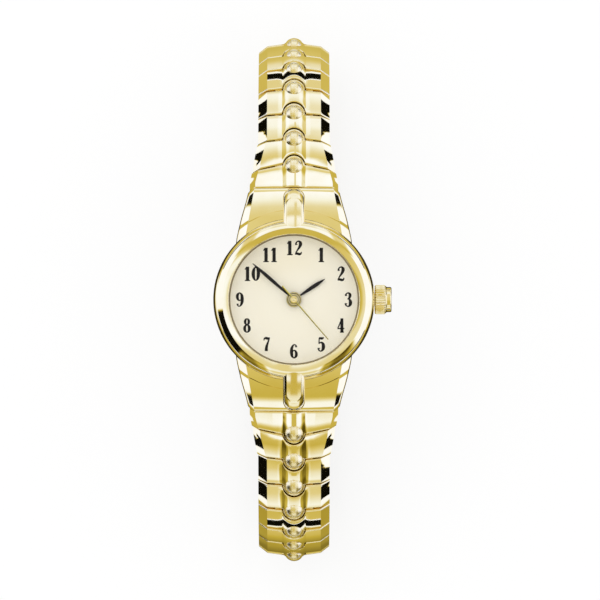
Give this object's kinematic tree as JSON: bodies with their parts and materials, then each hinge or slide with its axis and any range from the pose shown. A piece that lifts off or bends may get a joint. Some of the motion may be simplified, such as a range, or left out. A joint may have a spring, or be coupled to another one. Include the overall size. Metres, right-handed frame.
{
  "type": "wristwatch",
  "caption": "Small round dress watch with a polished gold case, cream dial and slim black hands, on a beaded expanding bracelet closed as a ring.",
  "frame": {"origin": "centre of the case back's outer face", "axes": "+Z out of the dial, +Y to twelve o'clock, +X to three o'clock and the crown"},
  "size_m": [0.0243, 0.0728, 0.0328],
  "materials": {
    "gold": "polished, gold plated",
    "back_steel": "satin",
    "bright_steel": "polished",
    "glass": "clear, polished",
    "dial": "smooth, satin cream paint",
    "hand_black": "gloss black paint",
    "plate": "moulded, fibre filled",
    "board": "green solder mask",
    "wheel": "gilt",
    "copper": "lacquered copper wire"
  },
  "bodies": {
    "case": {"case_body": "gold", "bezel": "gold", "crystal": "glass", "case_back": "back_steel", "dial": "dial", "main_plate": "plate", "train_bridge": "back_steel", "bridge_screws": "bright_steel", "stator": "back_steel", "coil": "copper", "circuit_board": "board", "battery": "bright_steel"},
    "second_arbor": {"second_wheel": "wheel", "second_hand": "gold"},
    "intermediate_arbor": {"intermediate_wheel": "wheel"},
    "rotor_arbor": {"rotor": "back_steel"},
    "third_arbor": {"third_wheel": "wheel"},
    "centre_arbor": {"centre_wheel": "wheel", "minute_hand": "hand_black"},
    "motion_arbor": {"minute_wheel": "wheel"},
    "hour_arbor": {"hour_wheel": "wheel", "hour_hand": "hand_black"},
    "setting_slide": {"setting_lever": "back_steel"},
    "winding_stem": {"stem": "bright_steel", "crown": "gold"},
    "links_north_1_2": {"link_north_1": "gold", "link_north_2": "gold"},
    "links_north_3_4": {"link_north_3": "gold", "link_north_4": "gold"},
    "links_north_5_6": {"link_north_5": "gold", "link_north_6": "gold"},
    "links_north_7_8": {"link_north_7": "gold", "link_north_8": "gold"},
    "links_north_9_10": {"link_north_9": "gold", "link_north_10": "gold"},
    "links_north_11_12": {"link_north_11": "gold", "link_north_12": "gold"},
    "links_north_13_14": {"link_north_13": "gold", "link_north_14": "gold"},
    "links_north_15_16": {"link_north_15": "gold", "link_north_16": "gold"},
    "link_north_17": {"link_north_17": "gold"},
    "links_south_1_2": {"link_south_1": "gold", "link_south_2": "gold"},
    "links_south_3_4": {"link_south_3": "gold", "link_south_4": "gold"},
    "links_south_5_6": {"link_south_5": "gold", "link_south_6": "gold"},
    "links_south_7_8": {"link_south_7": "gold", "link_south_8": "gold"},
    "links_south_9_10": {"link_south_9": "gold", "link_south_10": "gold"},
    "links_south_11_12": {"link_south_11": "gold", "link_south_12": "gold"},
    "links_south_13_14": {"link_south_13": "gold", "link_south_14": "gold"},
    "links_south_15_16": {"link_south_15": "gold", "link_south_16": "gold"},
    "link_south_17": {"link_south_17": "gold"},
    "link_centre": {"link_centre": "gold"}
  },
  "joints": [
    {"name": "flex_north_1", "type": "hinge", "parent": "case", "child": "links_north_1_2", "pos_m": [0, 0.01575, 0.0022], "axis": [-1, 0, 0], "range_deg": [0, 4]},
    {"name": "flex_north_3", "type": "hinge", "parent": "links_north_1_2", "child": "links_north_3_4", "pos_m": [0, 0.02188, 0.00004], "axis": [-1, 0, 0], "range_deg": [-0.01, 3.61]},
    {"name": "flex_north_5", "type": "hinge", "parent": "links_north_3_4", "child": "links_north_5_6", "pos_m": [0, 0.02868, -0.00373], "axis": [-1, 0, 0], "range_deg": [-1.61, 0.01]},
    {"name": "flex_north_7", "type": "hinge", "parent": "links_north_5_6", "child": "links_north_7_8", "pos_m": [0, 0.03306, -0.0101], "axis": [-1, 0, 0], "range_deg": [-3.11, 0.01]},
    {"name": "flex_north_9", "type": "hinge", "parent": "links_north_7_8", "child": "links_north_9_10", "pos_m": [0, 0.03431, -0.01758], "axis": [-1, 0, 0], "range_deg": [-12.48, 0.01]},
    {"name": "flex_north_11", "type": "hinge", "parent": "links_north_9_10", "child": "links_north_11_12", "pos_m": [0, 0.02925, -0.02321], "axis": [-1, 0, 0], "range_deg": [-7.34, 0.01]},
    {"name": "flex_north_13", "type": "hinge", "parent": "links_north_11_12", "child": "links_north_13_14", "pos_m": [0, 0.02154, -0.02402], "axis": [-1, 0, 0], "range_deg": [-0.01, 4.69]},
    {"name": "flex_north_15", "type": "hinge", "parent": "links_north_13_14", "child": "links_north_15_16", "pos_m": [0, 0.01374, -0.02402], "axis": [-1, 0, 0], "range_deg": [-0.01, 6.32]},
    {"name": "flex_north_17", "type": "hinge", "parent": "links_north_15_16", "child": "link_north_17", "pos_m": [0, 0.00594, -0.02402], "axis": [-1, 0, 0], "range_deg": [-0.01, 4.19]},
    {"name": "flex_centre", "type": "hinge", "parent": "link_north_17", "child": "link_centre", "pos_m": [0, 0.00204, -0.02402], "axis": [-1, 0, 0], "range_deg": [-0.01, 1.74]},
    {"name": "flex_south_1", "type": "hinge", "parent": "case", "child": "links_south_1_2", "pos_m": [0, -0.01575, 0.0022], "axis": [1, 0, 0], "range_deg": [-0.01, 4.01]},
    {"name": "flex_south_3", "type": "hinge", "parent": "links_south_1_2", "child": "links_south_3_4", "pos_m": [0, -0.02188, 0.00004], "axis": [1, 0, 0], "range_deg": [-0.01, 3.61]},
    {"name": "flex_south_5", "type": "hinge", "parent": "links_south_3_4", "child": "links_south_5_6", "pos_m": [0, -0.02868, -0.00373], "axis": [1, 0, 0], "range_deg": [-1.61, 0.01]},
    {"name": "flex_south_7", "type": "hinge", "parent": "links_south_5_6", "child": "links_south_7_8", "pos_m": [0, -0.03306, -0.0101], "axis": [1, 0, 0], "range_deg": [-3.11, 0.01]},
    {"name": "flex_south_9", "type": "hinge", "parent": "links_south_7_8", "child": "links_south_9_10", "pos_m": [0, -0.03431, -0.01758], "axis": [1, 0, 0], "range_deg": [-12.48, 0.01]},
    {"name": "flex_south_11", "type": "hinge", "parent": "links_south_9_10", "child": "links_south_11_12", "pos_m": [0, -0.02925, -0.02321], "axis": [1, 0, 0], "range_deg": [-7.34, 0.01]},
    {"name": "flex_south_13", "type": "hinge", "parent": "links_south_11_12", "child": "links_south_13_14", "pos_m": [0, -0.02154, -0.02402], "axis": [1, 0, 0], "range_deg": [-0.01, 4.69]},
    {"name": "flex_south_15", "type": "hinge", "parent": "links_south_13_14", "child": "links_south_15_16", "pos_m": [0, -0.01374, -0.02402], "axis": [1, 0, 0], "range_deg": [-0.01, 6.32]},
    {"name": "flex_south_17", "type": "hinge", "parent": "links_south_15_16", "child": "link_south_17", "pos_m": [0, -0.00594, -0.02402], "axis": [1, 0, 0], "range_deg": [-0.01, 4.19]},
    {"name": "second_turn", "type": "hinge", "parent": "case", "child": "second_arbor", "pos_m": [0, 0, 0.003], "axis": [0, 0, -1], "continuous": true},
    {"name": "intermediate_turn", "type": "hinge", "parent": "case", "child": "intermediate_arbor", "pos_m": [-0.00173, 0.001, 0.0015], "axis": [0, 0, -1], "continuous": true},
    {"name": "rotor_turn", "type": "hinge", "parent": "case", "child": "rotor_arbor", "pos_m": [-0.00366, 0.00134, 0.0015], "axis": [0, 0, -1], "continuous": true},
    {"name": "third_turn", "type": "hinge", "parent": "case", "child": "third_arbor", "pos_m": [0.00216, 0.00079, 0.0018], "axis": [0, 0, -1], "continuous": true},
    {"name": "minute_turn", "type": "hinge", "parent": "case", "child": "centre_arbor", "pos_m": [0, 0, 0.003], "axis": [0, 0, -1], "continuous": true},
    {"name": "motion_turn", "type": "hinge", "parent": "case", "child": "motion_arbor", "pos_m": [0.00218, -0.00101, 0.003], "axis": [0, 0, -1], "continuous": true},
    {"name": "hour_turn", "type": "hinge", "parent": "case", "child": "hour_arbor", "pos_m": [0, 0, 0.0035], "axis": [0, 0, -1], "continuous": true},
    {"name": "crown_pull", "type": "slide", "parent": "case", "child": "setting_slide", "axis": [1, 0, 0], "range_m": [0, 0.0008]},
    {"name": "crown_turn", "type": "hinge", "parent": "setting_slide", "child": "winding_stem", "pos_m": [0.008, 0, 0.0024], "axis": [1, 0, 0], "continuous": true}
  ],
  "couplings": [
    {"joint": "flex_north_3", "follows": "flex_north_1", "ratio": 0.9},
    {"joint": "flex_north_5", "follows": "flex_north_1", "ratio": -0.4},
    {"joint": "flex_north_7", "follows": "flex_north_1", "ratio": -0.775},
    {"joint": "flex_north_9", "follows": "flex_north_1", "ratio": -3.1175},
    {"joint": "flex_north_11", "follows": "flex_north_1", "ratio": -1.8325},
    {"joint": "flex_north_13", "follows": "flex_north_1", "ratio": 1.17},
    {"joint": "flex_north_15", "follows": "flex_north_1", "ratio": 1.5775},
    {"joint": "flex_north_17", "follows": "flex_north_1", "ratio": 1.045},
    {"joint": "flex_centre", "follows": "flex_north_1", "ratio": 0.4325},
    {"joint": "flex_south_1", "follows": "flex_north_1", "ratio": 1},
    {"joint": "flex_south_3", "follows": "flex_north_1", "ratio": 0.9},
    {"joint": "flex_south_5", "follows": "flex_north_1", "ratio": -0.4},
    {"joint": "flex_south_7", "follows": "flex_north_1", "ratio": -0.775},
    {"joint": "flex_south_9", "follows": "flex_north_1", "ratio": -3.1175},
    {"joint": "flex_south_11", "follows": "flex_north_1", "ratio": -1.8325},
    {"joint": "flex_south_13", "follows": "flex_north_1", "ratio": 1.17},
    {"joint": "flex_south_15", "follows": "flex_north_1", "ratio": 1.5775},
    {"joint": "flex_south_17", "follows": "flex_north_1", "ratio": 1.045},
    {"joint": "intermediate_turn", "follows": "second_turn", "ratio": -5},
    {"joint": "rotor_turn", "follows": "second_turn", "ratio": 30},
    {"joint": "third_turn", "follows": "second_turn", "ratio": -0.13333},
    {"joint": "minute_turn", "follows": "second_turn", "ratio": 0.016667},
    {"joint": "motion_turn", "follows": "second_turn", "ratio": -0.0055556},
    {"joint": "hour_turn", "follows": "second_turn", "ratio": 0.0013889}
  ]
}
